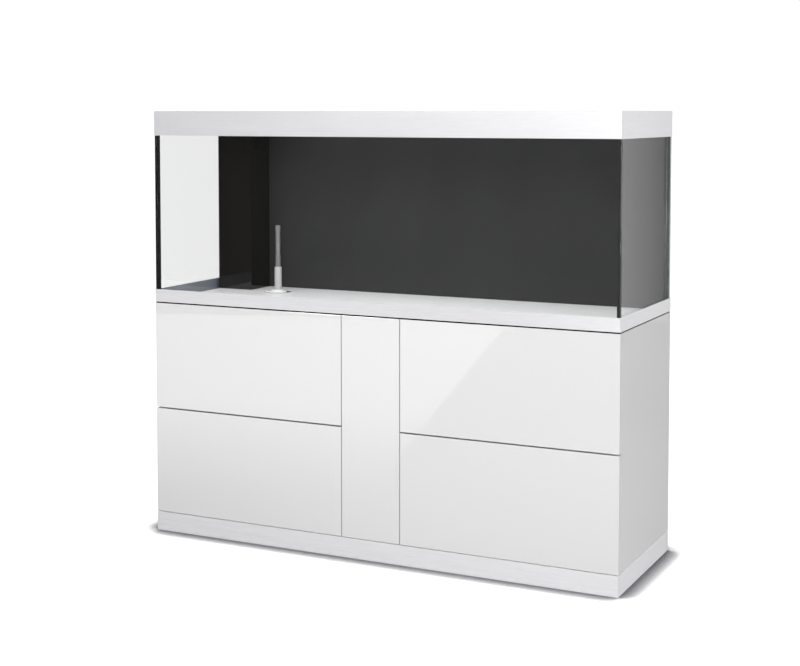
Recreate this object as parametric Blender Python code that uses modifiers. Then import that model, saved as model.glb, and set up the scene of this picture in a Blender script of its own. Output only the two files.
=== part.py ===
"""Aquarium with a corner overflow shaft on a white cabinet with push-to-open drawers.

Metres, +Z up, front towards -Y. The origin is on the floor, under the centre of the footprint.
"""
import math

import bmesh
import bpy
from mathutils import Matrix, Vector

# Driving dimensions: the footprint that hood, tray, cabinet and plinth share, and the levels.
WIDTH = 1.500
DEPTH = 0.487
HEIGHT = 1.311
PLINTH_TOP = 0.0588
CARCASS_BOTTOM = 0.0592
FRONT_BOTTOM = 0.0608
MID_GAP = 0.3877
CABINET_TOP = 0.7156
TRAY_BOTTOM = 0.7198
FLOOR_LEVEL = 0.7255
TRAY_TOP = 0.7585
HOOD_BOTTOM = 1.2356

TOUCH = 0.0003          # air left between two pieces that touch
FRONT_GAP = 0.0024      # visible upright joint between two cabinet fronts
LEVEL_GAP = 0.0040      # visible level joint between an upper and a lower front
PUSH_GAP = 0.0025       # room behind a front for pushing it in to release it
JOINT_X = 0.0949        # the two upright joints lie this far either side of the middle

# Cabinet boards and drawers.
BOARD = 0.018
FRONT_THICKNESS = 0.019
PLINTH_BOARD = 0.016
BACK_BOARD = 0.008
TOP_BOARD = 0.022
TOP_BOARD_TOP = 0.7100
RUNNER_DEPTH = 0.0127
RUNNER_HEIGHT = 0.045
RUNNER_SHEET = 0.0015
RUNNER_LENGTH = 0.270
DRAWER_DEPTH = 0.280
DRAWER_HEIGHT = 0.230
DRAWER_WALL = 0.012
DRAWER_BASE_GAP = 0.030

# Tank: panes, metal frames, black rear panel and corner shaft.
GLASS_INSET = 0.0015
GLASS = 0.010
SEAM = 0.0010
BOTTOM_GLASS = 0.0080
SHEET = 0.0010
SKIN = 0.0010
GLASS_TOP = HOOD_BOTTOM + 0.0130
REAR_PANEL = 0.0100
REAR_PANEL_FRONT = 0.4610   # distance of its face from the front of the footprint
SHAFT_WIDTH = 0.1360        # from the left side of the footprint to the shaft's right face
SHAFT_FRONT = 0.3430        # from the front of the footprint to the shaft's front face
SHAFT_PANEL = 0.005
COMB_DEPTH = 0.060
COMB_PITCH = 0.010
COMB_SLOT = 0.004
COMB_MARGIN = 0.015

# Water outlet that stands on the tank floor, and the overflow pipe inside the shaft.
RISER_FROM_LEFT = 0.2385
RISER_FROM_FRONT = 0.3435
RISER_FLANGE_R = 0.0435
RISER_DISC_R = 0.0205
RISER_LOWER_R = 0.0116
RISER_UPPER_R = 0.0082
RISER_LOWER_TOP = 0.0815
RISER_TOP = 0.2160
RIB_PITCH = 0.0046
RIB_DEPTH = 0.0011
RIBS_FROM_TOP = 0.020
RIBS_FROM_BOTTOM = 0.034
PLATE = 0.0030             # thickness of the outlet's flange and of its disc
GASKET = 0.0010
NOTCH_FROM = 0.0225          # the flange is open beyond this distance, left and right
NOTCH_LENGTH = 0.0300
RISER_TAIL_BOTTOM = 0.655
NUT_R = 0.024
NUT_HEIGHT = 0.014
OVERFLOW_R = 0.016
OVERFLOW_BORE_R = 0.0135
OVERFLOW_FROM_LEFT = 0.068
OVERFLOW_FROM_FRONT = 0.418
OVERFLOW_TOP = 1.130

# Hood: L-shaped profiles on the glass, two lift-up flaps and two light bars.
HOOD_LEDGE_DEPTH = 0.020
FLAP_THICKNESS = 0.005
FLAP_CLEARANCE = 0.0030
FLAP_REAR_CLEARANCE = 0.0080
FLAP_RECESS = 0.0070
NOTCH_WIDTH = 0.080
NOTCH_DEPTH = 0.042
LIGHT_WIDTH = 0.060
LIGHT_HEIGHT = 0.024
LIGHT_TOP_GAP = 0.012
LIGHT_Y = 0.080

LEFT = -WIDTH / 2
RIGHT = WIDTH / 2
FRONT = -DEPTH / 2
REAR = DEPTH / 2
RISER_X = LEFT + RISER_FROM_LEFT
RISER_Y = FRONT + RISER_FROM_FRONT
OVERFLOW_X = LEFT + OVERFLOW_FROM_LEFT
OVERFLOW_Y = FRONT + OVERFLOW_FROM_FRONT

for item in list(bpy.data.objects):
    bpy.data.objects.remove(item, do_unlink=True)


def new_collection(name):
    collection = bpy.data.collections.new(name)
    bpy.context.scene.collection.children.link(collection)
    return collection


PARTS = new_collection("aquarium_on_stand")
CUTTERS = new_collection("cutters")


def material(name, color, roughness, metallic=0.0, alpha=1.0):
    made = bpy.data.materials.new(name)
    made.use_nodes = True
    shader = made.node_tree.nodes["Principled BSDF"]
    shader.inputs["Base Color"].default_value = (*color, 1.0)
    shader.inputs["Roughness"].default_value = roughness
    shader.inputs["Metallic"].default_value = metallic
    shader.inputs["Alpha"].default_value = alpha
    return made


GLOSS_WHITE = material("gloss_white", (0.84, 0.84, 0.84), 0.06)
CARCASS_WHITE = material("carcass_white", (0.78, 0.78, 0.78), 0.35)
BRUSHED = material("brushed_aluminium", (0.82, 0.82, 0.84), 0.38, 0.9)
STEEL = material("zinc_steel", (0.62, 0.62, 0.64), 0.40, 1.0)
CLEAR_GLASS = material("clear_glass", (0.90, 0.95, 0.94), 0.02, 0.0, 0.35)
BLACK_GLOSS = material("black_gloss", (0.010, 0.010, 0.010), 0.08)
BLACK_FOAM = material("black_foam", (0.020, 0.020, 0.020), 0.90)
FLOOR_WHITE = material("floor_white", (0.76, 0.76, 0.77), 0.30)
GREY_PLASTIC = material("grey_plastic", (0.45, 0.46, 0.46), 0.35)
WHITE_PLASTIC = material("white_plastic", (0.80, 0.80, 0.79), 0.30)
RUBBER = material("rubber", (0.015, 0.015, 0.015), 0.70)


def finish_object(obj, look, collection=None):
    """Link an object and give it its material."""
    (collection or PARTS).objects.link(obj)
    if look is not None:
        obj.data.materials.append(look)
    return obj


def set_parent(obj, parent):
    """Parent an object and keep its place in the world."""
    obj.parent = parent
    obj.matrix_parent_inverse = Matrix.Translation(parent.location).inverted()


def add_bevel(obj, width, segments):
    modifier = obj.modifiers.new("edges", "BEVEL")
    modifier.width = width
    modifier.segments = segments
    modifier.limit_method = "ANGLE"
    modifier.angle_limit = math.radians(40)
    return modifier


def box(name, low, high, look, bevel=0.0, segments=1, collection=None):
    """A board or plate between two corners."""
    low = Vector(low)
    high = Vector(high)
    size = high - low
    bm = bmesh.new()
    bmesh.ops.create_cube(bm, size=1.0)
    bmesh.ops.scale(bm, vec=size, verts=bm.verts)
    mesh = bpy.data.meshes.new(name)
    bm.to_mesh(mesh)
    bm.free()
    obj = bpy.data.objects.new(name, mesh)
    obj.location = (low + high) / 2
    finish_object(obj, look, collection)
    if bevel:
        add_bevel(obj, bevel, segments)
    return obj


def as_cutter(obj):
    obj.hide_render = True
    obj.display_type = "WIRE"
    return obj


def cutter_box(name, low, high):
    return as_cutter(box(name, low, high, None, collection=CUTTERS))


def cutter_rod(name, x, y, low, high, radius, sides=32):
    bm = bmesh.new()
    bmesh.ops.create_cone(bm, cap_ends=True, segments=sides, radius1=radius, radius2=radius,
                          depth=high - low)
    mesh = bpy.data.meshes.new(name)
    bm.to_mesh(mesh)
    bm.free()
    obj = bpy.data.objects.new(name, mesh)
    obj.location = (x, y, (low + high) / 2)
    CUTTERS.objects.link(obj)
    return as_cutter(obj)


def combine(obj, tool, operation="DIFFERENCE"):
    modifier = obj.modifiers.new(tool.name, "BOOLEAN")
    modifier.operation = operation
    modifier.object = tool
    modifier.solver = "EXACT"
    return modifier


def turned(name, profile, x, y, look, steps=40):
    """A solid of revolution about the upright line at x, y; the profile runs top to bottom."""
    mesh = bpy.data.meshes.new(name)
    points = [(radius, 0.0, height) for radius, height in profile]
    edges = [(i, i + 1) for i in range(len(points) - 1)]
    if profile[0][0] > 0.0:
        edges.append((len(points) - 1, 0))
    mesh.from_pydata(points, edges, [])
    obj = bpy.data.objects.new(name, mesh)
    obj.location = (x, y, 0.0)
    finish_object(obj, look)
    screw = obj.modifiers.new("turn", "SCREW")
    screw.steps = steps
    screw.render_steps = steps
    screw.use_merge_vertices = True
    screw.merge_threshold = 0.00001
    screw.use_smooth_shade = False
    return obj


def mitred_profile(name, outline, side, look):
    """One of four profiles round the footprint, mitred at 45 degrees at both ends.

    The outline is a list of (distance inwards, height), going round the cross-section.
    """
    length = WIDTH if side in ("front", "rear") else DEPTH
    reach = DEPTH / 2 if side in ("front", "rear") else WIDTH / 2
    turn = {"front": 0, "right": 90, "rear": 180, "left": 270}[side]
    bm = bmesh.new()
    corners = [bm.verts.new((-length / 2, inward, height)) for inward, height in outline]
    start = bm.faces.new(corners)
    extruded = bmesh.ops.extrude_face_region(bm, geom=[start])
    moved = [item for item in extruded["geom"] if isinstance(item, bmesh.types.BMVert)]
    bmesh.ops.translate(bm, verts=moved, vec=(length, 0.0, 0.0))
    for vert in bm.verts:
        end = math.copysign(1.0, vert.co.x)
        vert.co.x -= end * (vert.co.y + TOUCH)
    bmesh.ops.recalc_face_normals(bm, faces=bm.faces)
    mesh = bpy.data.meshes.new(name)
    bm.to_mesh(mesh)
    bm.free()
    obj = bpy.data.objects.new(name, mesh)
    obj.rotation_euler = (0.0, 0.0, math.radians(turn))
    obj.location = Matrix.Rotation(math.radians(turn), 3, "Z") @ Vector((0.0, -reach, 0.0))
    return finish_object(obj, look)


def moving_frame(name, location):
    """An empty on a joint's axis, which the moving pieces are parented to."""
    empty = bpy.data.objects.new(name, None)
    empty.location = location
    empty.empty_display_size = 0.05
    PARTS.objects.link(empty)
    return empty


def make_plinth():
    side_low = FRONT + PLINTH_BOARD + TOUCH
    for name, y in (("plinth_front", FRONT), ("plinth_rear", REAR - PLINTH_BOARD)):
        box(name, (LEFT, y, 0.0), (RIGHT, y + PLINTH_BOARD, PLINTH_TOP), BRUSHED, 0.0006)
    for name, x in (("plinth_left", LEFT), ("plinth_right", RIGHT - PLINTH_BOARD)):
        box(name, (x, side_low, 0.0), (x + PLINTH_BOARD, -side_low, PLINTH_TOP), BRUSHED, 0.0006)


def make_carcass():
    board_front = FRONT + FRONT_THICKNESS + PUSH_GAP
    inner = RIGHT - BOARD - TOUCH
    base_top = CARCASS_BOTTOM + BOARD
    for name, x in (("side_panel_left", LEFT), ("side_panel_right", RIGHT - BOARD)):
        box(name, (x, board_front, CARCASS_BOTTOM), (x + BOARD, REAR, CABINET_TOP), GLOSS_WHITE,
            0.0008)
    box("base_board", (-inner, board_front, CARCASS_BOTTOM), (inner, REAR, base_top),
        CARCASS_WHITE)
    top = box("top_board", (-inner, board_front, TOP_BOARD_TOP - TOP_BOARD),
              (inner, REAR, TOP_BOARD_TOP), CARCASS_WHITE)
    for name, x in (("divider_left", -JOINT_X), ("divider_right", JOINT_X)):
        box(name, (x - BOARD / 2, board_front, base_top + TOUCH),
            (x + BOARD / 2, REAR, TOP_BOARD_TOP - TOP_BOARD - TOUCH), CARCASS_WHITE)
    bay = JOINT_X + BOARD / 2 + TOUCH
    vent = 0.090
    for name, low, high in (("back_panel_left", -inner, -bay), ("back_panel_right", bay, inner)):
        box(name, (low, REAR - BACK_BOARD, base_top + TOUCH),
            (high, REAR, TOP_BOARD_TOP - TOP_BOARD - vent), CARCASS_WHITE)
    mat = box("support_mat", (-inner, board_front + TOUCH, TOP_BOARD_TOP + TOUCH),
              (inner, REAR - 0.004, CABINET_TOP + 0.0005), BLACK_FOAM)
    return top, mat


def make_drawers():
    """Four drawers that slide out to the front, each with a front, a box and two runners."""
    box_front = FRONT + FRONT_THICKNESS + TOUCH
    bay_inner = JOINT_X + BOARD / 2
    bay_outer = RIGHT - BOARD
    half_gap = FRONT_GAP / 2
    half_level = LEVEL_GAP / 2
    levels = {"lower": (FRONT_BOTTOM, MID_GAP - half_level),
              "upper": (MID_GAP + half_level, CABINET_TOP)}
    for side, sign in (("left", -1), ("right", 1)):
        for level, (low, high) in levels.items():
            place = f"{level}_{side}"
            slide = moving_frame(f"slide_{place}", (sign * (bay_inner + bay_outer) / 2, FRONT, low))
            ends = sorted((sign * (JOINT_X + half_gap), sign * RIGHT))
            front = box(f"drawer_front_{place}", (ends[0], FRONT, low),
                        (ends[1], FRONT + FRONT_THICKNESS, high), GLOSS_WHITE, 0.0010, 2)
            set_parent(front, slide)
            base = low + DRAWER_BASE_GAP
            body_in = bay_inner + RUNNER_DEPTH
            body_out = bay_outer - RUNNER_DEPTH
            body = make_drawer_box(place, sign, body_in, body_out, box_front, base)
            set_parent(body, slide)
            height = base + RUNNER_HEIGHT / 2 + 0.010
            make_runner(f"runner_{place}_outer", sign * bay_outer, -sign, height)
            make_runner(f"runner_{place}_inner", sign * bay_inner, sign, height)


def make_drawer_box(place, sign, body_in, body_out, front, base):
    """An open-topped box, with a rib along each side that rides inside its runner."""
    ends = sorted((sign * body_in, sign * body_out))
    top = base + DRAWER_HEIGHT
    rear = front + DRAWER_DEPTH
    body = box(f"drawer_box_{place}", (ends[0], front, base), (ends[1], rear, top), CARCASS_WHITE)
    hollow = cutter_box(f"hollow_{place}",
                        (ends[0] + DRAWER_WALL, front + DRAWER_WALL, base + DRAWER_WALL),
                        (ends[1] - DRAWER_WALL, rear - DRAWER_WALL, top + DRAWER_WALL))
    combine(body, hollow)
    middle = base + RUNNER_HEIGHT / 2 + 0.010
    half = RUNNER_HEIGHT / 2 - RUNNER_SHEET - 0.001
    reach = RUNNER_DEPTH - RUNNER_SHEET - 0.001
    ribs = (("left", ends[0] - reach, ends[0] + RUNNER_SHEET),
            ("right", ends[1] - RUNNER_SHEET, ends[1] + reach))
    for edge, low, high in ribs:
        rib = cutter_box(f"rib_{place}_{edge}", (low, front + 0.004, middle - half),
                         (high, front + RUNNER_LENGTH - 0.010, middle + half))
        combine(body, rib, "UNION")
    return body


def make_runner(name, x, sign, height):
    """A steel channel fixed to a board at x, open towards the drawer on its sign side."""
    half = RUNNER_HEIGHT / 2
    lip = RUNNER_DEPTH - 0.003
    sheet = RUNNER_SHEET
    outline = [(0, -half), (lip, -half), (lip, sheet - half), (sheet, sheet - half),
               (sheet, half - sheet), (lip, half - sheet), (lip, half), (0, half)]
    curve = bpy.data.curves.new(name, "CURVE")
    curve.dimensions = "2D"
    curve.fill_mode = "BOTH"
    curve.extrude = RUNNER_LENGTH / 2
    spline = curve.splines.new("POLY")
    spline.points.add(len(outline) - 1)
    for point, (across, up) in zip(spline.points, outline):
        point.co = (sign * across, up, 0.0, 1.0)
    spline.use_cyclic_u = True
    obj = bpy.data.objects.new(name, curve)
    start = FRONT + FRONT_THICKNESS + PUSH_GAP + 0.002
    obj.location = (x + sign * TOUCH, start + RUNNER_LENGTH / 2, height)
    obj.rotation_euler = (math.radians(90), 0.0, 0.0)
    return finish_object(obj, STEEL)


def make_pullout():
    """The narrow middle front with a two-shelf rack behind it, on one runner on the base."""
    half_gap = FRONT_GAP / 2
    rack_half = 0.068
    rack_front = FRONT + FRONT_THICKNESS + TOUCH
    rack_rear = rack_front + DRAWER_DEPTH
    rack_low = CARCASS_BOTTOM + BOARD + 0.016
    rack_high = 0.640
    plate = 0.010
    shelf = rack_low + (rack_high - rack_low) * 0.46
    slide = moving_frame("slide_pullout", (0.0, FRONT, rack_low))
    half = JOINT_X - half_gap
    front = box("pullout_front", (-half, FRONT, FRONT_BOTTOM),
                (half, FRONT + FRONT_THICKNESS, CABINET_TOP), GLOSS_WHITE, 0.0010, 2)
    set_parent(front, slide)
    rack = box("pullout_rack", (-rack_half, rack_front, rack_low),
               (rack_half, rack_rear, rack_high), CARCASS_WHITE)
    past = rack_half + 0.01
    lower = cutter_box("rack_lower_space", (-past, rack_front + plate, rack_low + plate),
                       (past, rack_rear - plate, shelf))
    upper = cutter_box("rack_upper_space", (-past, rack_front + plate, shelf + plate),
                       (past, rack_rear - plate, rack_high + plate))
    combine(rack, lower)
    combine(rack, upper)
    rib_half = 0.018
    rib = cutter_box("rack_rib", (-rib_half, rack_front + 0.004, rack_low - 0.0105),
                     (rib_half, rack_front + RUNNER_LENGTH - 0.010, rack_low + 0.002))
    combine(rack, rib, "UNION")
    set_parent(rack, slide)
    rail = box("pullout_runner", (-0.0225, rack_front + PUSH_GAP + 0.002, CARCASS_BOTTOM + BOARD + TOUCH),
               (0.0225, rack_front + PUSH_GAP + 0.002 + RUNNER_LENGTH, rack_low - 0.003), STEEL)
    groove = cutter_box("runner_groove", (-0.0200, FRONT, CARCASS_BOTTOM + BOARD + 0.0020),
                        (0.0200, REAR, rack_low + 0.010))
    combine(rail, groove)


def make_tray_and_hood():
    """Brushed metal bands round the bottom and the top of the tank."""
    tray = [(0.0, TRAY_BOTTOM), (SKIN, TRAY_BOTTOM), (SKIN, TRAY_TOP), (0.0, TRAY_TOP)]
    ledge = GLASS_TOP + TOUCH
    shelf = HEIGHT - FLAP_RECESS
    hood = [(0.0, HOOD_BOTTOM), (SKIN, HOOD_BOTTOM), (SKIN, ledge), (HOOD_LEDGE_DEPTH, ledge),
            (HOOD_LEDGE_DEPTH, shelf), (SKIN, shelf), (SKIN, HEIGHT), (0.0, HEIGHT)]
    for side in ("front", "rear", "left", "right"):
        mitred_profile(f"tray_{side}", tray, side, BRUSHED)
        mitred_profile(f"hood_{side}", hood, side, BRUSHED)


def make_flaps():
    """Two hood flaps that hinge up at the rear, with a finger and feeding notch in front."""
    low = HEIGHT - FLAP_RECESS + TOUCH
    high = low + FLAP_THICKNESS
    front = FRONT + FLAP_CLEARANCE
    rear = REAR - FLAP_REAR_CLEARANCE
    ends = {"left": (LEFT + FLAP_CLEARANCE, -0.001), "right": (0.001, RIGHT - FLAP_CLEARANCE)}
    for side, (start, end) in ends.items():
        hinge = moving_frame(f"hinge_{side}", ((start + end) / 2, rear, (low + high) / 2))
        flap = box(f"hood_flap_{side}", (start, front, low), (end, rear, high), GLOSS_WHITE)
        middle = (start + end) / 2
        notch = cutter_box(f"notch_{side}", (middle - NOTCH_WIDTH / 2, front - 0.01, low - 0.01),
                           (middle + NOTCH_WIDTH / 2, front + NOTCH_DEPTH, high + 0.01))
        combine(flap, notch)
        set_parent(flap, hinge)


def make_lights():
    """Two light bars that span the hood from end profile to end profile."""
    top = HEIGHT - FLAP_RECESS - LIGHT_TOP_GAP
    end = RIGHT - HOOD_LEDGE_DEPTH - TOUCH
    for name, y in (("light_bar_front", -LIGHT_Y), ("light_bar_rear", LIGHT_Y)):
        box(name, (-end, y - LIGHT_WIDTH / 2, top - LIGHT_HEIGHT), (end, y + LIGHT_WIDTH / 2, top),
            BRUSHED, 0.004, 2)


def make_tank():
    """Glass box: four walls on a bottom pane, with a white sheet on its floor."""
    outer_x = RIGHT - GLASS_INSET
    outer_y = REAR - GLASS_INSET
    bottom_low = FLOOR_LEVEL - SHEET - TOUCH - BOTTOM_GLASS
    bottom_top = bottom_low + BOTTOM_GLASS
    wall_low = bottom_top + TOUCH
    bottom = box("bottom_pane", (-outer_x, -outer_y, bottom_low), (outer_x, outer_y, bottom_top),
                 CLEAR_GLASS)
    for name, y in (("front_pane", -outer_y), ("rear_pane", outer_y - GLASS)):
        box(name, (-outer_x, y, wall_low), (outer_x, y + GLASS, GLASS_TOP), CLEAR_GLASS, 0.0006)
    side_end = outer_y - GLASS - SEAM
    for name, x in (("left_pane", -outer_x), ("right_pane", outer_x - GLASS)):
        box(name, (x, -side_end, wall_low), (x + GLASS, side_end, GLASS_TOP), CLEAR_GLASS, 0.0006)
    inner_x = outer_x - GLASS - TOUCH
    inner_y = outer_y - GLASS - TOUCH
    sheet = box("floor_sheet", (-inner_x, -inner_y, wall_low), (inner_x, inner_y, FLOOR_LEVEL),
                FLOOR_WHITE)
    panel_front = FRONT + REAR_PANEL_FRONT
    box("rear_panel", (-inner_x, panel_front, FLOOR_LEVEL + TOUCH),
        (inner_x, panel_front + REAR_PANEL, GLASS_TOP - 0.004), BLACK_GLOSS)
    return bottom, sheet


def make_shaft():
    """Corner shaft: a plain front panel and a side panel with an overflow comb at its top."""
    low = FLOOR_LEVEL + TOUCH
    top = GLASS_TOP - 0.006
    left = LEFT + GLASS_INSET + GLASS + TOUCH
    right = LEFT + SHAFT_WIDTH
    front = FRONT + SHAFT_FRONT
    rear = FRONT + REAR_PANEL_FRONT - TOUCH
    box("shaft_front_panel", (left, front, low), (right, front + SHAFT_PANEL, top), BLACK_GLOSS,
        0.0005)
    side = box("shaft_side_panel", (right - SHAFT_PANEL, front + SHAFT_PANEL + TOUCH, low),
               (right, rear, top), BLACK_GLOSS)
    slots = int((rear - front - COMB_MARGIN - COMB_SLOT) / COMB_PITCH)
    for index in range(slots):
        y = front + COMB_MARGIN + index * COMB_PITCH
        slot = cutter_box(f"comb_slot_{index}", (right - 0.02, y, top - COMB_DEPTH),
                          (right + 0.02, y + COMB_SLOT, top + 0.01))
        combine(side, slot)


def ribbed_profile(bottom, top):
    """Outline of the upper tube: smooth ends with a run of round ribs between them."""
    ribs_low = bottom + RIBS_FROM_BOTTOM
    ribs_high = top - RIBS_FROM_TOP
    count = int((ribs_high - ribs_low) / RIB_PITCH)
    points = [(0.0, top), (RISER_UPPER_R - 0.001, top), (RISER_UPPER_R, top - 0.001)]
    for index in range(count):
        level = ribs_high - index * RIB_PITCH
        points.append((RISER_UPPER_R, level))
        points.append((RISER_UPPER_R - RIB_DEPTH, level - RIB_PITCH * 0.3))
        points.append((RISER_UPPER_R - RIB_DEPTH, level - RIB_PITCH * 0.6))
    points.append((RISER_UPPER_R, ribs_high - count * RIB_PITCH))
    points.append((RISER_UPPER_R, bottom))
    points.append((0.0, bottom))
    return points


def make_riser():
    """Water outlet: gasket, notched flange, disc, lower tube with a threaded tail, ribbed tube."""
    gasket_low = FLOOR_LEVEL + TOUCH
    gasket_top = gasket_low + GASKET
    flange_low = gasket_top + TOUCH
    flange_top = flange_low + PLATE
    disc_low = flange_top + TOUCH
    disc_top = disc_low + PLATE
    bore = RISER_LOWER_R + TOUCH * 2
    turned("riser_gasket", [(bore, gasket_top), (RISER_FLANGE_R - 0.001, gasket_top),
                            (RISER_FLANGE_R - 0.001, gasket_low), (bore, gasket_low)],
           RISER_X, RISER_Y, RUBBER)
    flange = turned("riser_flange", [(bore, flange_top), (RISER_FLANGE_R - 0.0015, flange_top),
                                     (RISER_FLANGE_R, flange_low), (bore, flange_low)],
                    RISER_X, RISER_Y, WHITE_PLASTIC)
    for side, sign in (("left", -1), ("right", 1)):
        near = RISER_X + sign * NOTCH_FROM
        far = RISER_X + sign * (RISER_FLANGE_R + 0.002)
        slot = cutter_box(f"flange_notch_{side}",
                          (min(near, far), RISER_Y - NOTCH_LENGTH / 2, flange_low - 0.01),
                          (max(near, far), RISER_Y + NOTCH_LENGTH / 2, flange_top + 0.01))
        combine(flange, slot)
    turned("riser_disc", [(bore, disc_top), (RISER_DISC_R - 0.001, disc_top),
                          (RISER_DISC_R, disc_low), (bore, disc_low)],
           RISER_X, RISER_Y, WHITE_PLASTIC)
    lower_top = FLOOR_LEVEL + RISER_LOWER_TOP
    turned("riser_lower_tube", [(0.0, lower_top), (RISER_LOWER_R - 0.0008, lower_top),
                                (RISER_LOWER_R, lower_top - 0.0008),
                                (RISER_LOWER_R, RISER_TAIL_BOTTOM), (0.0, RISER_TAIL_BOTTOM)],
           RISER_X, RISER_Y, WHITE_PLASTIC)
    turned("riser_upper_tube", ribbed_profile(lower_top + TOUCH, FLOOR_LEVEL + RISER_TOP),
           RISER_X, RISER_Y, GREY_PLASTIC, 24)
    nut_top = TOP_BOARD_TOP - TOP_BOARD - TOUCH
    nut_low = nut_top - NUT_HEIGHT
    turned("riser_nut", [(bore, nut_top), (NUT_R, nut_top), (NUT_R, nut_low), (bore, nut_low)],
           RISER_X, RISER_Y, GREY_PLASTIC)


def make_overflow_pipe():
    low = TOP_BOARD_TOP - TOP_BOARD - 0.040
    turned("overflow_pipe", [(OVERFLOW_BORE_R, OVERFLOW_TOP), (OVERFLOW_R, OVERFLOW_TOP),
                             (OVERFLOW_R, low), (OVERFLOW_BORE_R, low)],
           OVERFLOW_X, OVERFLOW_Y, GREY_PLASTIC)


def drill_pipe_holes(pieces):
    """Through-holes for the water outlet and the overflow pipe."""
    low = TOP_BOARD_TOP - TOP_BOARD - 0.05
    high = FLOOR_LEVEL + 0.05
    holes = (cutter_rod("riser_hole", RISER_X, RISER_Y, low, high, RISER_LOWER_R + 0.0009),
             cutter_rod("overflow_hole", OVERFLOW_X, OVERFLOW_Y, low, high, OVERFLOW_R + 0.0009))
    for piece in pieces:
        for hole in holes:
            combine(piece, hole)


make_plinth()
top_board, support_mat = make_carcass()
make_drawers()
make_pullout()
bottom_pane, floor_sheet = make_tank()
make_tray_and_hood()
make_flaps()
make_lights()
make_shaft()
make_riser()
make_overflow_pipe()
drill_pipe_holes((top_board, support_mat, bottom_pane, floor_sheet))
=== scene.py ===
"""Looks of the aquarium on its cabinet: materials, small fittings, light and camera.

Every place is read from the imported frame. Metres, +Z up, front towards -Y.
"""
import math

import bmesh
import bpy
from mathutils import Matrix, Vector


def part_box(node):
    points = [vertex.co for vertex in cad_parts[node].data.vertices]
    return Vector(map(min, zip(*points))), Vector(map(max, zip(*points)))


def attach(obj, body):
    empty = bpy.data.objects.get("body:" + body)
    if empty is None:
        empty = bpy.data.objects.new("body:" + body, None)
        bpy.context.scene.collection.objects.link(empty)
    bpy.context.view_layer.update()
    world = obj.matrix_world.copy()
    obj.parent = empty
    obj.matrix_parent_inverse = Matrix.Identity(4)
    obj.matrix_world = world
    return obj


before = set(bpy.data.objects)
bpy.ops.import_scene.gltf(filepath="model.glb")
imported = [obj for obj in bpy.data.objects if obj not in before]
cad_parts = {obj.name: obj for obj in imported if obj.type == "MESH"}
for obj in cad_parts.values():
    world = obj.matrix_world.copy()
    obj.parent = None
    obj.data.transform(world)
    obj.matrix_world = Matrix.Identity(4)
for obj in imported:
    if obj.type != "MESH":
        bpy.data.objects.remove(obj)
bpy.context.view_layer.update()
ROOT = "stand_and_tank"
DRAWERS = ("lower_left", "lower_right", "upper_left", "upper_right")

# Camera: place, heading to the left of +Y, dip, lens and the shift that frames the object.
CAMERA_PLACE = (1.929, -4.001, 1.302)
CAMERA_HEADING = 26.05
CAMERA_DIP = 3.34
CAMERA_LENS = 66.2
CAMERA_SHIFT = (0.0016, -0.1665)
SENSOR = 36.0

# Soft boxes: name, place, aim point, width, height, watts.
SOFT_BOXES = (
    ("front_wide", (-0.4, -4.6, 2.6), (0.0, 0.0, 0.5), 3.0, 1.6, 21.0),
    ("front_near_top", (0.0, -1.6, 2.4), (0.0, 0.0, 0.75), 2.0, 0.5, 13.0),
    ("front_left", (-2.1, -3.3, 2.9), (0.0, 0.0, 0.8), 0.6, 0.6, 22.5),
    ("key_front", (0.9, -2.6, 2.1), (0.5, 0.0, 0.8), 0.9, 0.9, 20.0),
    ("key_low", (1.3, -2.0, 0.7), (0.55, 0.0, 0.5), 0.6, 0.4, 3.0),
    ("key_metal", (0.44, -2.4, 0.62), (0.5, 0.0, 0.7), 0.3, 0.3, 2.8),
    ("right_middle", (2.6, -0.5, 1.15), (0.75, -0.1, 0.9), 0.8, 0.8, 13.0),
    ("back_far", (0.0, 4.4, 3.2), (0.0, 1.5, 0.0), 6.0, 2.0, 40.0),
    ("under_hood", (0.0, -0.14, 1.262), (0.0, -0.10, 0.7), 1.3, 0.06, 3.8),
)
# World: direction that each soft lobe of light comes from, its sharpness and its strength.
WORLD_LOBES = (
    ((0.0, 0.0, 1.0), 1.0, 0.70),
    ((0.9, 0.0, 0.4), 3.0, 0.24),
    ((0.3, 0.95, 0.0), 6.0, 0.136),
)
WORLD_BASE = 0.047
WORLD_BEHIND = 1.08
# Light card lying on the floor in front, to the left: its straight right-hand edge is what
# runs across the lacquered fronts as a slanted step in their gloss.
CARD_EDGE_NEAR = (-0.336, -0.85)
CARD_EDGE_FAR = (-1.452, -4.96)
CARD_WIDTH = 3.2
CARD_WATTS = 46.0
CARD_FADE = (0.0, 0.35)
# Upright light card behind, to the right.
SIDE_CARD_PLACE = (1.75, 2.0, 1.34)
SIDE_CARD_WIDTH = 1.4
SIDE_CARD_HEIGHT = 1.82
SIDE_CARD_WATTS = 7.8
SIDE_CARD_FADE = (0.1, 0.5)
# Share of light a glass face mirrors when looked at head on.
GLASS_MIRROR = 0.04
# Studio floor: its edges stay out of the reflections in the panes.
# It looks white, and throws less light back up than it shows.
FLOOR_BOUNCE = 0.55
FLOOR_SEEN = 1.8
# Painted shadow in the floor's colour where the object stands on it: its reach, how steeply it
# fades, and its tone.
CONTACT_REACH = 0.08
CONTACT_DEPTH = 5.0
CONTACT_TONE = (0.020, 0.020, 0.035)
FLOOR_LOW = (-9.0, -5.0)
FLOOR_HIGH = (9.0, 5.5)

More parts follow.
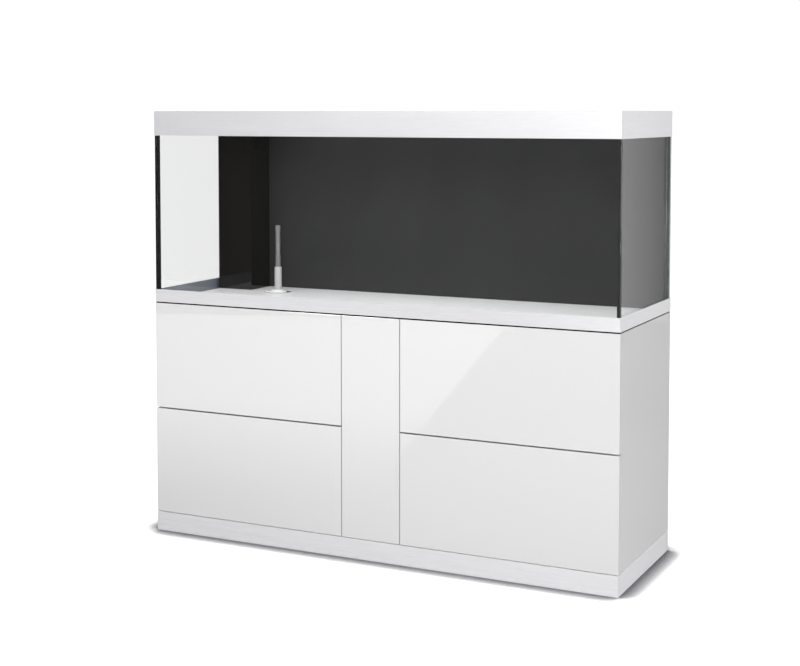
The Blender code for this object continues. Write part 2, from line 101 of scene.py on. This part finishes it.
# Small fittings.
HAIR = 0.0001               # distance that seams keep from the faces next to them
BEAD_REACH = 0.0025
BEAD_STEPS = 5
BOND_AIR = 0.00005
BOND_MARGIN = 0.001
STRIP_AIR = 0.0003
COLLAR_AIR = 0.0002
COLLAR_WIDTH = 0.0034
COLLAR_HEIGHT = 0.0048
COLLAR_CHAMFER = 0.0010
COLLAR_CHAMFER_FROM = 0.0035
DIFFUSER_MARGIN = 0.008
DIFFUSER_END = 0.020
SLIDE_SHEET = 0.0006
SLIDE_HALF_HEIGHT = 0.019
RAIL_RADIUS = 0.0022
RAIL_MARGIN = 0.009
RAIL_INSET = 0.006
RAIL_SPACING = 0.030
SCREW_ROWS = 5
SCREW_FROM_END = 0.03
SCREW_FROM_SIDE = 0.012


# ---------------------------------------------------------------- node helpers

class Shader:
    """A material with a Principled node and short calls for the nodes round it."""

    def __init__(self, name):
        self.material = bpy.data.materials.new(name)
        self.material.use_nodes = True
        self.tree = self.material.node_tree
        self.principled = self.tree.nodes["Principled BSDF"]
        self.output = self.tree.nodes["Material Output"]

    def node(self, kind, **values):
        made = self.tree.nodes.new(kind)
        for key, value in values.items():
            if key in made.inputs:
                made.inputs[key].default_value = value
            else:
                setattr(made, key, value)
        return made

    def link(self, source, target):
        self.tree.links.new(source, target)

    def set(self, **values):
        """Principled inputs by name, with underscores for spaces."""
        for key, value in values.items():
            self.principled.inputs[key.replace("_", " ")].default_value = value

    def place(self, scale):
        """Object coordinates, stretched by a scale for each axis."""
        coordinates = self.node("ShaderNodeTexCoord")
        mapping = self.node("ShaderNodeMapping")
        mapping.inputs["Scale"].default_value = scale
        self.link(coordinates.outputs["Object"], mapping.inputs["Vector"])
        return mapping.outputs["Vector"]

    def noise(self, scale, detail=2.0, roughness=0.5):
        """Noise from 0 to 1, with scale in repeats per metre along each axis."""
        texture = self.node("ShaderNodeTexNoise", Scale=1.0, Detail=detail, Roughness=roughness)
        self.link(self.place(scale), texture.inputs["Vector"])
        return texture.outputs["Fac"]

    def ranged(self, source, low, high, start=0.3, end=0.7):
        """source between start and end, turned into low to high."""
        ramp = self.node("ShaderNodeMapRange")
        ramp.inputs["From Min"].default_value = start
        ramp.inputs["From Max"].default_value = end
        ramp.inputs["To Min"].default_value = low
        ramp.inputs["To Max"].default_value = high
        self.link(source, ramp.inputs["Value"])
        return ramp.outputs["Result"]

    def blend(self, factor, first, second):
        mix = self.node("ShaderNodeMix", data_type="RGBA")
        mix.inputs[6].default_value = (*first, 1.0)
        mix.inputs[7].default_value = (*second, 1.0)
        self.link(factor, mix.inputs[0])
        return mix.outputs[2]

    def bump(self, height, strength, distance):
        bump = self.node("ShaderNodeBump", Strength=strength, Distance=distance)
        self.link(height, bump.inputs["Height"])
        self.link(bump.outputs["Normal"], self.principled.inputs["Normal"])
        return bump

    def color(self, socket):
        self.link(socket, self.principled.inputs["Base Color"])

    def rough(self, socket):
        self.link(socket, self.principled.inputs["Roughness"])


def grey(value, warmth=0.0):
    return (value + warmth, value, value - warmth)


def cool_grey(value):
    """Grey of anodised aluminium, a trace towards violet."""
    return (value + 0.001, value - 0.006, value + 0.014)


# ---------------------------------------------------------------- materials

def brushed_metal(name, along, base=0.86, rough=0.42, metallic=0.65):
    """Aluminium brushed along its length: fine streaks over broader, fainter ones."""
    shader = Shader(name)
    fine_scale = [520.0, 520.0, 520.0]
    broad_scale = [150.0, 150.0, 150.0]
    fine_scale["XYZ".index(along)] = 20.0
    broad_scale["XYZ".index(along)] = 4.0
    fine = shader.noise(fine_scale, 3.0, 0.6)
    broad = shader.noise(broad_scale, 2.0, 0.5)
    both = shader.node("ShaderNodeMath", operation="ADD")
    shader.link(shader.ranged(fine, 0.0, 0.65), both.inputs[0])
    shader.link(shader.ranged(broad, 0.0, 0.35), both.inputs[1])
    streaks = both.outputs[0]
    shader.set(Metallic=metallic, Specular_IOR_Level=0.5)
    shader.color(shader.blend(streaks, cool_grey(base - 0.055), cool_grey(base + 0.035)))
    shader.rough(shader.ranged(streaks, rough + 0.07, rough - 0.07, 0.0, 1.0))
    shader.bump(streaks, 0.10, 0.0002)
    return shader.material


def gloss_lacquer(name, base=0.75):
    """White high-gloss lacquer: clear coat over paint, with a trace of orange peel."""
    shader = Shader(name)
    shader.set(Roughness=0.35, Coat_Weight=1.0, Coat_Roughness=0.01, Coat_IOR=1.7)
    cloud = shader.noise((1.3, 1.3, 1.3), 1.0)
    shader.color(shader.blend(cloud, grey(base - 0.008), grey(base + 0.006)))
    peel = shader.noise((160.0, 160.0, 160.0), 2.0)
    bump = shader.bump(peel, 0.012, 0.0004)
    shader.link(bump.outputs["Normal"], shader.principled.inputs["Coat Normal"])
    return shader.material


def melamine(name, base=0.78):
    """White melamine-faced board with a fine pearl texture."""
    shader = Shader(name)
    grain = shader.noise((900.0, 900.0, 900.0), 2.0)
    shader.color(shader.blend(grain, grey(base - 0.02), grey(base + 0.015)))
    shader.rough(shader.ranged(grain, 0.36, 0.50))
    shader.bump(grain, 0.12, 0.0003)
    return shader.material


def zinc(name):
    """Zinc-plated runner steel with rolling marks along it and a faint mottle."""
    shader = Shader(name)
    shader.set(Metallic=1.0)
    rolled = shader.noise((700.0, 6.0, 700.0), 2.0)
    mottle = shader.noise((90.0, 90.0, 90.0), 3.0)
    shader.color(shader.blend(mottle, (0.56, 0.57, 0.60), (0.70, 0.71, 0.72)))
    shader.rough(shader.ranged(rolled, 0.28, 0.46))
    shader.bump(rolled, 0.08, 0.0002)
    return shader.material


def powder_coat(name, base=0.76):
    shader = Shader(name)
    pebble = shader.noise((600.0, 600.0, 600.0), 2.0)
    shader.color(shader.blend(pebble, grey(base - 0.02), grey(base + 0.02)))
    shader.rough(shader.ranged(pebble, 0.40, 0.55))
    shader.bump(pebble, 0.25, 0.0003)
    return shader.material


def plastic(name, base, rough, warmth=0.0, spread=0.02):
    """Moulded plastic with a fine satin texture and a little tone variation."""
    shader = Shader(name)
    texture = shader.noise((800.0, 800.0, 800.0), 2.0)
    tone = shader.noise((45.0, 45.0, 45.0), 2.0)
    shader.color(shader.blend(tone, grey(base - spread, warmth), grey(base + spread, warmth)))
    shader.rough(shader.ranged(texture, rough - 0.05, rough + 0.08))
    shader.bump(texture, 0.08, 0.0002)
    return shader.material


def black_acrylic(name, base, warmth, rough, mirror=0.5):
    """Polished black sheet with faint smears in its gloss."""
    shader = Shader(name)
    shader.set(Specular_IOR_Level=mirror)
    smear = shader.noise((5.0, 5.0, 2.2), 3.0, 0.6)
    shader.color(shader.blend(smear, grey(base * 0.85, warmth), grey(base * 1.15, warmth)))
    shader.rough(shader.ranged(smear, rough, rough + 0.04))
    return shader.material


def foam(name):
    shader = Shader(name)
    cells = shader.noise((700.0, 700.0, 700.0), 3.0, 0.7)
    shader.color(shader.blend(cells, grey(0.010), grey(0.035)))
    shader.set(Roughness=0.9)
    shader.bump(cells, 0.5, 0.0005)
    return shader.material


def silicone(name, base=0.0095):
    """Silicone sealant, slightly uneven where it was drawn along the joint."""
    shader = Shader(name)
    drawn = shader.noise((300.0, 300.0, 35.0), 2.0)
    shader.color(shader.blend(drawn, grey(base * 0.65), grey(base * 1.35)))
    shader.rough(shader.ranged(drawn, 0.28, 0.42))
    shader.bump(drawn, 0.15, 0.0004)
    return shader.material


def adhesive(name):
    """Dark blue-grey adhesive, a little cloudy."""
    shader = Shader(name)
    cloud = shader.noise((40.0, 40.0, 40.0), 2.0)
    shader.color(shader.blend(cloud, (0.20, 0.225, 0.265), (0.25, 0.275, 0.315)))
    shader.rough(shader.ranged(cloud, 0.35, 0.5))
    return shader.material


def floor_white(name):
    """White floor of the tank: satin sheet with a fine speckle."""
    shader = Shader(name)
    speckle = shader.noise((450.0, 450.0, 450.0), 3.0, 0.6)
    shader.color(shader.blend(speckle, (0.80, 0.805, 0.815), (0.86, 0.86, 0.865)))
    shader.rough(shader.ranged(speckle, 0.30, 0.42))
    shader.bump(speckle, 0.06, 0.0003)
    return shader.material


def clear_glass(name, axis, tint=(0.974, 0.976, 0.975), edge=(0.42, 0.50, 0.48)):
    """A pane across one axis: clear through its faces, deeper and greener in its cut edges.

    A mix of Transparent and a mirror that grows with the slant, so light gets into the tank.
    """
    shader = Shader(name)
    normal = shader.node("ShaderNodeNewGeometry")
    split = shader.node("ShaderNodeSeparateXYZ")
    shader.link(normal.outputs["True Normal"], split.inputs[0])
    size = shader.node("ShaderNodeMath", operation="ABSOLUTE")
    shader.link(split.outputs[axis], size.inputs[0])
    face = shader.ranged(size.outputs[0], 0.0, 1.0, 0.4, 0.6)
    wipe = shader.noise((3.0, 3.0, 1.5), 2.0)
    through = shader.node("ShaderNodeBsdfTransparent")
    cleaned = shader.blend(wipe, tint, tuple(channel + 0.008 for channel in tint))
    mix = shader.node("ShaderNodeMix", data_type="RGBA")
    shader.link(face, mix.inputs[0])
    mix.inputs[6].default_value = (*edge, 1.0)
    shader.link(cleaned, mix.inputs[7])
    shader.link(mix.outputs[2], through.inputs["Color"])
    mirror = shader.node("ShaderNodeBsdfGlossy", Roughness=0.0)
    mirror.inputs["Color"].default_value = (1.0, 1.0, 1.0, 1.0)
    slant = shader.node("ShaderNodeLayerWeight", Blend=0.5)
    steep = shader.node("ShaderNodeMath", operation="POWER")
    steep.inputs[1].default_value = 5.0
    shader.link(slant.outputs["Facing"], steep.inputs[0])
    mirrored = shader.node("ShaderNodeMath", operation="MULTIPLY_ADD")
    mirrored.inputs[1].default_value = 1.0 - GLASS_MIRROR
    mirrored.inputs[2].default_value = GLASS_MIRROR
    shader.link(steep.outputs[0], mirrored.inputs[0])
    surface = shader.node("ShaderNodeMixShader")
    shader.link(mirrored.outputs[0], surface.inputs[0])
    shader.link(through.outputs[0], surface.inputs[1])
    shader.link(mirror.outputs[0], surface.inputs[2])
    shader.link(surface.outputs[0], shader.output.inputs["Surface"])
    shader.tree.nodes.remove(shader.principled)
    return shader.material


def diffuser(name):
    """Frosted strip under a light bar, switched off, with its ribs along it."""
    shader = Shader(name)
    ribs = shader.noise((4.0, 900.0, 4.0), 1.0)
    shader.color(shader.blend(ribs, (0.80, 0.81, 0.80), (0.88, 0.89, 0.88)))
    shader.rough(shader.ranged(ribs, 0.25, 0.4))
    shader.bump(ribs, 0.2, 0.0003)
    return shader.material


# ---------------------------------------------------------------- shapes

def new_piece(name, bm, material, body, smooth=False):
    """A mesh object from bmesh that rides on a body."""
    bmesh.ops.recalc_face_normals(bm, faces=bm.faces)
    mesh = bpy.data.meshes.new(name)
    bm.to_mesh(mesh)
    bm.free()
    obj = bpy.data.objects.new(name, mesh)
    bpy.context.scene.collection.objects.link(obj)
    obj.data.materials.append(material)
    if smooth:
        mesh.shade_smooth()
        mesh.set_sharp_from_angle(angle=math.radians(40))
    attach(obj, body)
    return obj


def add_bar(bm, low, high, bevel=0.0):
    """A bar between two corners, with softened edges, added to bm."""
    low = Vector(low)
    high = Vector(high)
    made = bmesh.ops.create_cube(bm, size=1.0)
    bmesh.ops.scale(bm, vec=high - low, verts=made["verts"])
    bmesh.ops.translate(bm, vec=(low + high) / 2, verts=made["verts"])
    if bevel:
        edges = list({edge for vert in made["verts"] for edge in vert.link_edges})
        bmesh.ops.bevel(bm, geom=edges, offset=bevel, segments=2, profile=0.5, affect="EDGES")


def add_peg(bm, centre, radius, tip_radius, length, segments):
    """A round bar along Y, from one radius to another, added to bm."""
    made = bmesh.ops.create_cone(bm, cap_ends=True, segments=segments, radius1=radius,
                                 radius2=tip_radius, depth=length)
    turn = Vector((0, 0, 1)).rotation_difference(Vector((0, 1, 0))).to_matrix()
    bmesh.ops.rotate(bm, verts=made["verts"], matrix=turn, cent=(0, 0, 0))
    bmesh.ops.translate(bm, verts=made["verts"], vec=centre)


def add_prism(bm, outline, low, high):
    """An upright prism over a list of (x, y) corners, added to bm."""
    base = [bm.verts.new((x, y, low)) for x, y in outline]
    top = [bm.verts.new((x, y, high)) for x, y in outline]
    bm.faces.new(list(reversed(base)))
    bm.faces.new(top)
    count = len(outline)
    for index in range(count):
        follow = (index + 1) % count
        bm.faces.new((base[index], base[follow], top[follow], top[index]))


def corner_seams(black, pale):
    """Silicone in the four upright joints: a strip between two panes and a bead inside.

    It is black at the two front corners and pale grey at the rear ones.
    """
    for side, x_sign in (("left", -1), ("right", 1)):
        pane_low, pane_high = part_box(f"{side}_pane")
        outer_x = pane_low.x if x_sign < 0 else pane_high.x
        inner_x = pane_high.x if x_sign < 0 else pane_low.x
        for end, y_sign in (("front", -1), ("rear", 1)):
            wall_low, wall_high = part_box(f"{end}_pane")
            wall_y = wall_high.y if y_sign < 0 else wall_low.y
            pane_y = pane_low.y if y_sign < 0 else pane_high.y
            outer = outer_x - x_sign * HAIR
            bm = bmesh.new()
            centre = (inner_x - x_sign * BEAD_REACH, wall_y - y_sign * BEAD_REACH)
            outline = [(outer, wall_y - y_sign * HAIR), (outer, pane_y + y_sign * HAIR),
                       (inner_x - x_sign * HAIR, pane_y + y_sign * HAIR)]
            for step in range(BEAD_STEPS + 1):
                turn = math.pi / 2 * step / BEAD_STEPS
                x = centre[0] + x_sign * BEAD_REACH * math.cos(turn) - x_sign * HAIR
                y = centre[1] + y_sign * BEAD_REACH * math.sin(turn) - y_sign * HAIR
                outline.append((x, y))
            add_prism(bm, outline, pane_low.z + HAIR, pane_high.z - HAIR)
            new_piece(f"silicone_{end}_{side}", bm, black if end == "front" else pale, ROOT)


def pane_end_film(material):
    """Black film just inside the left cut end of the front pane."""
    low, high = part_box("front_pane")
    bm = bmesh.new()
    add_bar(bm, (low.x + HAIR, low.y + HAIR, low.z + HAIR),
            (low.x + 2 * HAIR, high.y - HAIR, high.z - HAIR))
    new_piece("pane_end_film", bm, material, ROOT)


def bonding_strips(material):
    """Dark adhesive between the tray band and the panes, seen through the glass."""
    for side, axis, sign in (("front", 1, -1), ("rear", 1, 1), ("left", 0, -1), ("right", 0, 1)):
        band_low, band_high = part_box(f"tray_{side}")
        pane_low, pane_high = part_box(f"{side}_pane")
        low = Vector(pane_low)
        high = Vector(pane_high)
        low[axis] = band_high[axis] + BOND_AIR if sign < 0 else pane_high[axis] + BOND_AIR
        high[axis] = pane_low[axis] - BOND_AIR if sign < 0 else band_low[axis] - BOND_AIR
        low.z = band_low.z + BOND_MARGIN
        high.z = band_high.z - BOND_MARGIN
        bm = bmesh.new()
        add_bar(bm, low, high)
        new_piece(f"bonding_{side}", bm, material, ROOT)


def riser_collar(material):
    """Glued collar where the lower tube of the water outlet stands on its disc."""
    tube_low, tube_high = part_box("riser_lower_tube")
    disc_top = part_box("riser_disc")[1].z
    middle = (tube_low + tube_high) / 2
    inner = (tube_high.x - tube_low.x) / 2 + COLLAR_AIR
    outer = inner + COLLAR_WIDTH
    profile = ((outer, 0.0), (outer, COLLAR_CHAMFER_FROM),
               (outer - COLLAR_CHAMFER, COLLAR_HEIGHT), (inner, COLLAR_HEIGHT), (inner, 0.0))
    bm = bmesh.new()
    rim = [bm.verts.new((middle.x + out, middle.y, disc_top + HAIR + up))
           for out, up in profile]
    bm.faces.new(rim)
    bmesh.ops.spin(bm, geom=bm.faces[:] + bm.verts[:] + bm.edges[:], angle=math.tau, steps=48,
                   axis=(0, 0, 1), cent=(middle.x, middle.y, 0.0), use_merge=True)
    inside = [face for face in bm.faces if abs(face.normal.y) > 0.99 and len(face.verts) > 4]
    bmesh.ops.delete(bm, geom=inside, context="FACES_ONLY")
    bmesh.ops.remove_doubles(bm, verts=bm.verts, dist=0.00002)
    new_piece("riser_collar", bm, material, ROOT, True)


def light_diffusers(material):
    for end in ("front", "rear"):
        low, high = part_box(f"light_bar_{end}")
        bm = bmesh.new()
        add_bar(bm, (low.x + DIFFUSER_END, low.y + DIFFUSER_MARGIN, low.z - 0.0022),
                (high.x - DIFFUSER_END, high.y - DIFFUSER_MARGIN, low.z - 0.0002), 0.0008)
        new_piece(f"light_diffuser_{end}", bm, material, ROOT)


def drawer_slides(material):
    """The moving steel member of each runner, over the rib of its drawer box."""
    for place in DRAWERS:
        for edge in ("inner", "outer"):
            rail_low, rail_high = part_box(f"runner_{place}_{edge}")
            box_low, box_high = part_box(f"drawer_box_{place}")
            on_high_side = (rail_low.x + rail_high.x) > (box_low.x + box_high.x)
            face = box_high.x + SLIDE_SHEET if on_high_side else box_low.x - SLIDE_SHEET
            middle = (rail_low.z + rail_high.z) / 2
            bm = bmesh.new()
            add_bar(bm, (face - SLIDE_SHEET / 2, box_low.y + 0.006, middle - SLIDE_HALF_HEIGHT),
                    (face + SLIDE_SHEET / 2, rail_high.y - 0.012, middle + SLIDE_HALF_HEIGHT))
            new_piece(f"slide_{place}_{edge}", bm, material, f"drawer_{place}")


def rack_rails(material):
    """Wire guard rails along both open sides of the pull-out rack's two shelves."""
    low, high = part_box("pullout_rack")
    length = high.y - low.y - 2 * RAIL_MARGIN
    heights = {"lower": low.z + 0.075, "upper": (low.z + high.z) / 2 + 0.065}
    for level, height in heights.items():
        for side, x in (("left", low.x + RAIL_INSET), ("right", high.x - RAIL_INSET)):
            bm = bmesh.new()
            for lift in (0.0, RAIL_SPACING):
                add_peg(bm, (x, (low.y + high.y) / 2, height + lift), RAIL_RADIUS, RAIL_RADIUS,
                        length, 12)
            new_piece(f"rack_rail_{level}_{side}", bm, material, "pullout", True)


def back_screws(material):
    """Pan-head screws along the upright edges of the cabinet's two back panels."""
    for side in ("left", "right"):
        low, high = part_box(f"back_panel_{side}")
        bm = bmesh.new()
        rise = high.z - low.z - 2 * SCREW_FROM_END
        for index in range(SCREW_ROWS):
            height = low.z + SCREW_FROM_END + rise * index / (SCREW_ROWS - 1)
            for x in (low.x + SCREW_FROM_SIDE, high.x - SCREW_FROM_SIDE):
                add_peg(bm, (x, high.y + 0.0009, height), 0.0042, 0.0030, 0.0016, 16)
        new_piece(f"back_screws_{side}", bm, material, ROOT, True)


def painted_shade_strip(material):
    """Black strip in the gap between the tray's front and the fronts' top edges, in the mat's foam
    look: painted shade for that gap.
    """
    tray_low, tray_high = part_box("tray_front")
    front_low, front_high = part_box("pullout_front")
    bm = bmesh.new()
    add_bar(bm, (tray_low.x + 0.002, front_low.y + 0.0015, front_high.z + STRIP_AIR),
            (tray_high.x - 0.002, front_high.y - 0.001, tray_low.z - STRIP_AIR))
    new_piece("painted_shade_strip", bm, material, ROOT)


# ---------------------------------------------------------------- stage

def make_camera():
    data = bpy.data.cameras.new("camera")
    data.sensor_width = SENSOR
    data.lens = CAMERA_LENS
    data.shift_x, data.shift_y = CAMERA_SHIFT
    camera = bpy.data.objects.new("camera", data)
    camera.location = CAMERA_PLACE
    camera.rotation_euler = (math.radians(90 - CAMERA_DIP), 0.0, math.radians(CAMERA_HEADING))
    bpy.context.scene.collection.objects.link(camera)
    bpy.context.scene.camera = camera


def make_soft_boxes():
    for name, place, aim, width, height, watts in SOFT_BOXES:
        data = bpy.data.lights.new(name, "AREA")
        data.shape = "RECTANGLE"
        data.size = width
        data.size_y = height
        data.energy = watts
        light = bpy.data.objects.new(name, data)
        light.location = place
        light.rotation_euler = (Vector(aim) - Vector(place)).to_track_quat("-Z", "Y").to_euler()
        bpy.context.scene.collection.objects.link(light)


def fading_card(name, width, height, watts, axis, start, end):
    """Area light whose strength fades across it, from nothing at start to full at end."""
    data = bpy.data.lights.new(name, "AREA")
    data.shape = "RECTANGLE"
    data.size = width
    data.size_y = height
    data.energy = watts
    data.use_nodes = True
    tree = data.node_tree
    surface = tree.nodes.new("ShaderNodeNewGeometry")
    split = tree.nodes.new("ShaderNodeSeparateXYZ")
    tree.links.new(surface.outputs["Parametric"], split.inputs[0])
    fade = tree.nodes.new("ShaderNodeMapRange")
    fade.inputs["From Min"].default_value = start
    fade.inputs["From Max"].default_value = end
    tree.links.new(split.outputs[axis], fade.inputs["Value"])
    tree.links.new(fade.outputs["Result"], tree.nodes["Emission"].inputs["Strength"])
    card = bpy.data.objects.new(name, data)
    bpy.context.scene.collection.objects.link(card)
    return card


def make_side_card():
    """Upright card behind, to the right, that fades to the left: it shades off the right side."""
    card = fading_card("side_card", SIDE_CARD_WIDTH, SIDE_CARD_HEIGHT, SIDE_CARD_WATTS, "X",
                       *SIDE_CARD_FADE)
    card.location = SIDE_CARD_PLACE
    card.rotation_euler = (math.radians(-90), 0.0, 0.0)


def make_floor_card():
    """Area light that faces up, sharp along its right edge and fading towards the object."""
    near = Vector((*CARD_EDGE_NEAR, 0.004))
    far = Vector((*CARD_EDGE_FAR, 0.004))
    along = (far - near).normalized()
    leftward = Vector((along.y, -along.x, 0.0))
    card = fading_card("floor_card", CARD_WIDTH, (far - near).length, CARD_WATTS, "Y",
                       *CARD_FADE)
    card.location = (near + far) / 2 + leftward * (CARD_WIDTH / 2)
    heading = math.atan2(along.x, -along.y)
    card.rotation_euler = (math.pi, 0.0, heading)


def make_world():
    """White behind the object, and a soft room of light lobes for everything that is lit."""
    world = bpy.data.worlds.new("studio")
    bpy.context.scene.world = world
    world.use_nodes = True
    tree = world.node_tree
    tree.nodes.clear()
    coordinates = tree.nodes.new("ShaderNodeTexCoord")
    total = None
    for direction, sharpness, strength in WORLD_LOBES:
        dot = tree.nodes.new("ShaderNodeVectorMath")
        dot.operation = "DOT_PRODUCT"
        dot.inputs[1].default_value = direction
        tree.links.new(coordinates.outputs["Generated"], dot.inputs[0])
        clip = tree.nodes.new("ShaderNodeMath")
        clip.operation = "MAXIMUM"
        clip.inputs[1].default_value = 0.0
        tree.links.new(dot.outputs["Value"], clip.inputs[0])
        power = tree.nodes.new("ShaderNodeMath")
        power.operation = "POWER"
        power.inputs[1].default_value = sharpness
        tree.links.new(clip.outputs[0], power.inputs[0])
        scaled = tree.nodes.new("ShaderNodeMath")
        scaled.operation = "MULTIPLY_ADD"
        scaled.label = "lobe"
        scaled.inputs[1].default_value = strength
        scaled.inputs[2].default_value = WORLD_BASE
        tree.links.new(power.outputs[0], scaled.inputs[0])
        if total is not None:
            tree.links.new(total, scaled.inputs[2])
        total = scaled.outputs[0]
    room = tree.nodes.new("ShaderNodeBackground")
    tree.links.new(total, room.inputs["Strength"])
    white = tree.nodes.new("ShaderNodeBackground")
    white.inputs["Strength"].default_value = WORLD_BEHIND
    for background in (room, white):
        background.inputs["Color"].default_value = (1.0, 1.0, 1.0, 1.0)
    path = tree.nodes.new("ShaderNodeLightPath")
    mix = tree.nodes.new("ShaderNodeMixShader")
    tree.links.new(path.outputs["Is Camera Ray"], mix.inputs[0])
    tree.links.new(room.outputs[0], mix.inputs[1])
    tree.links.new(white.outputs[0], mix.inputs[2])
    output = tree.nodes.new("ShaderNodeOutputWorld")
    tree.links.new(mix.outputs[0], output.inputs["Surface"])


def make_floor():
    bm = bmesh.new()
    corners = ((FLOOR_LOW[0], FLOOR_LOW[1]), (FLOOR_HIGH[0], FLOOR_LOW[1]),
               (FLOOR_HIGH[0], FLOOR_HIGH[1]), (FLOOR_LOW[0], FLOOR_HIGH[1]))
    bm.faces.new([bm.verts.new((x, y, 0.0)) for x, y in corners])
    mesh = bpy.data.meshes.new("studio_floor")
    bm.to_mesh(mesh)
    bm.free()
    floor = bpy.data.objects.new("studio_floor", mesh)
    bpy.context.scene.collection.objects.link(floor)
    shader = Shader("studio_floor")
    shader.set(Roughness=0.8, Specular_IOR_Level=0.1)
    paper = shader.noise((3.0, 3.0, 3.0), 2.0)
    # Painted contact shadow: near the object's base the colour the camera sees darkens towards
    # CONTACT_TONE.
    contact = shader.node("ShaderNodeAmbientOcclusion", samples=6, Distance=CONTACT_REACH)
    depth = shader.node("ShaderNodeMath", operation="POWER")
    depth.inputs[1].default_value = CONTACT_DEPTH
    shader.link(contact.outputs["AO"], depth.inputs[0])
    view = shader.node("ShaderNodeLightPath")
    tone = shader.node("ShaderNodeMix", data_type="RGBA")
    shader.link(view.outputs["Is Camera Ray"], tone.inputs[0])
    shader.link(shader.blend(paper, grey(FLOOR_BOUNCE - 0.01), grey(FLOOR_BOUNCE)), tone.inputs[6])
    seen = shader.blend(depth.outputs[0], CONTACT_TONE, grey(FLOOR_SEEN))
    shader.link(seen, tone.inputs[7])
    shader.color(tone.outputs[2])
    floor.data.materials.append(shader.material)


# ---------------------------------------------------------------- dress the frame

def dress(material, *nodes):
    """Give CAD nodes a finished material in place of the plain one they came with."""
    for node in nodes:
        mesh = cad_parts[node].data
        mesh.materials.clear()
        mesh.materials.append(material)


def dress_metal():
    along_x = brushed_metal("brushed_along_x", "X")
    # The side copy is lighter and less metallic than the fronts' metal: painted light that
    # brightens the sides of the hood and tray.
    lit_sides = brushed_metal("brushed_sides_lit_copy", "Y", 0.94, 0.42, 0.38)
    for band in ("hood", "tray"):
        dress(along_x, f"{band}_front", f"{band}_rear")
        dress(lit_sides, f"{band}_left", f"{band}_right")
    dress(brushed_metal("plinth_along_x", "X", 0.91, 0.45, 0.45), "plinth_front", "plinth_rear")
    # The plinth's side copy is lighter and less metallic than its front one: painted light that
    # brightens the plinth's sides.
    dress(brushed_metal("plinth_sides_lit_copy", "Y", 0.93, 0.45, 0.25), "plinth_left", "plinth_right")
    dress(brushed_metal("light_housing_metal", "X", 0.80, 0.35), "light_bar_front",
          "light_bar_rear")
    steel = zinc("zinc_plated_steel")
    dress(steel, "pullout_runner")
    dress(steel, *(f"runner_{place}_{edge}" for place in DRAWERS for edge in ("inner", "outer")))
    return steel


def dress_cabinet():
    lacquer = gloss_lacquer("white_lacquer")
    dress(lacquer, "side_panel_left", "side_panel_right", "pullout_front")
    dress(lacquer, *(f"drawer_front_{place}" for place in DRAWERS))
    board = melamine("white_melamine")
    dress(board, "base_board", "top_board", "divider_left", "divider_right", "back_panel_left",
          "back_panel_right")
    dress(board, *(f"drawer_box_{place}" for place in DRAWERS))
    dress(powder_coat("white_powder_coat"), "pullout_rack")
    mat = foam("black_foam_mat")
    dress(mat, "support_mat")
    return mat


def dress_tank():
    dress(clear_glass("glass_across_y", "Y"), "front_pane", "rear_pane")
    dress(clear_glass("glass_across_x", "X"), "left_pane", "right_pane")
    # The bottom pane is black: where its edge shows in the gap under the tray, the black is
    # painted shade for that gap.
    dress(black_acrylic("black_glass_gap_shade", 0.012, 0.0, 0.15), "bottom_pane")
    dress(black_acrylic("black_rear_panel", 0.032, 0.0, 0.30, 0.20), "rear_panel")
    dress(black_acrylic("black_shaft", 0.008, 0.0008, 0.02, 0.5), "shaft_front_panel",
          "shaft_side_panel")
    dress(floor_white("tank_floor"), "floor_sheet")
    dress(plastic("white_moulding", 0.80, 0.30), "riser_flange", "riser_disc")
    dress(plastic("pale_moulding", 0.47, 0.32), "riser_lower_tube")
    dress(plastic("grey_moulding", 0.175, 0.30), "riser_upper_tube", "riser_nut",
          "overflow_pipe")
    dress(plastic("gasket_rubber", 0.012, 0.6, 0.0, 0.004), "riser_gasket")
    dress(plastic("flap_plastic", 0.80, 0.28), "hood_flap_left", "hood_flap_right")


steel_look = dress_metal()
foam_and_gap_shade_look = dress_cabinet()
dress_tank()
# Black strip in the gap under the tray: painted shade.
painted_shade_strip(foam_and_gap_shade_look)
sealant = silicone("black_silicone")
corner_seams(sealant, silicone("pale_silicone", 0.16))
pane_end_film(sealant)
bonding_strips(adhesive("blue_grey_adhesive"))
riser_collar(plastic("collar_moulding", 0.42, 0.32))
light_diffusers(diffuser("frosted_diffuser"))
drawer_slides(steel_look)
rack_rails(steel_look)
back_screws(steel_look)
make_camera()
make_soft_boxes()
make_floor_card()
make_side_card()
make_world()
make_floor()
bpy.context.scene.view_settings.view_transform = "Standard"
